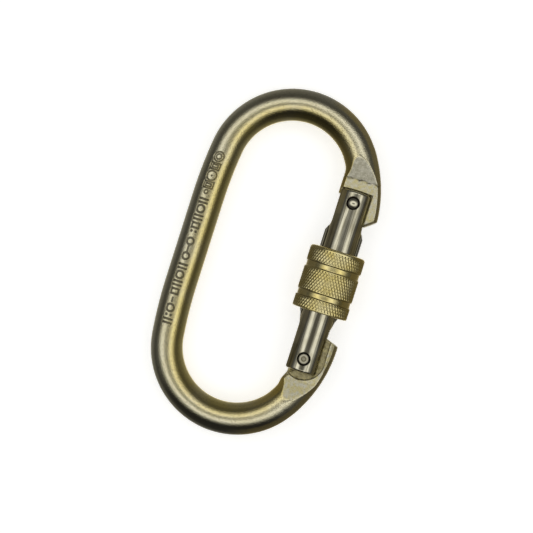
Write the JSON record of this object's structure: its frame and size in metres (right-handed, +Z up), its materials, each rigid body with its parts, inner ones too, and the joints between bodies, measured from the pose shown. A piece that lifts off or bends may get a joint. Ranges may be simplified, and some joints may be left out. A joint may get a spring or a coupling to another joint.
{
  "type": "screwgate carabiner",
  "caption": "Steel oval carabiner: a bent round bar closed by a sprung gate, which a knurled screw sleeve locks over the nose.",
  "frame": {"origin": "on the floor under the middle of the object's box, as it lies at rest on its spine and its sleeve", "axes": "+Z up from the floor, +Y along the spine and the gate towards the nose, +X from the spine towards the gate"},
  "size_m": [0.057, 0.1092, 0.0173],
  "materials": {
    "yellow_zinc_bar": "satin yellow-passivated zinc plate over forged steel",
    "bright_steel": "turned and bright nickel-grey plated steel",
    "yellow_zinc_sleeve": "knurled steel, deep yellow-passivated zinc plate",
    "spring_wire": "drawn spring steel wire"
  },
  "bodies": {
    "ring": {"body": "yellow_zinc_bar"},
    "gate_arm": {"gate": "bright_steel", "hinge_rivet": "bright_steel", "latch_pin": "bright_steel", "gate_spring": "spring_wire"},
    "sleeve": {"lock_sleeve": "yellow_zinc_sleeve"},
    "plunger": {"spring_plunger": "bright_steel"}
  },
  "joints": [
    {"name": "gate_hinge", "type": "hinge", "parent": "ring", "child": "gate_arm", "pos_m": [0.01983, -0.0246, 0.00868], "axis": [-0.0845, 0, 0.9964], "range_deg": [0, 28], "stiffness_Nm_per_rad": 0.04, "springref_deg": -114.59},
    {"name": "sleeve_travel", "type": "slide", "parent": "gate_arm", "child": "sleeve", "axis": [0, 1, 0], "range_m": [0, 0.0103]},
    {"name": "plunger_slide", "type": "slide", "parent": "gate_arm", "child": "plunger", "axis": [0, 1, 0], "range_m": [0, 0.00098], "deforming": ["gate_spring"]}
  ],
  "couplings": [
    {"joint": "plunger_slide", "follows": "gate_hinge", "m_per_rad": 0.002}
  ]
}
